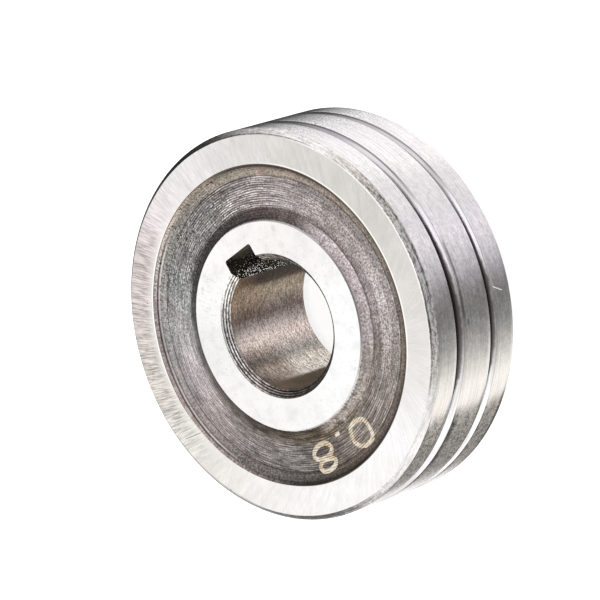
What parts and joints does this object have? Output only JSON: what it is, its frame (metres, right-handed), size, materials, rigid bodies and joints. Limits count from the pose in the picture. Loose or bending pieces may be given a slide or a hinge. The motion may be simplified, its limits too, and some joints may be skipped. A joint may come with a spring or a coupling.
{
  "type": "wire feed roller",
  "caption": "Round steel drive roller for a welding wire feeder, with V grooves in its rolling surface, a recessed ring in both faces and a bore with a keyway.",
  "frame": {"origin": "centre of the back face, on the bore axis, where the roller rests on that face", "axes": "+Z along the bore axis, out of the front face; +X out through the middle of the keyway"},
  "size_m": [0.03, 0.03, 0.01],
  "materials": {
    "steel": "ground and turned, bare hardened steel with a dark oxide skin in the recess"
  },
  "bodies": {
    "root": {"feed_roller": "steel"}
  },
  "joints": []
}
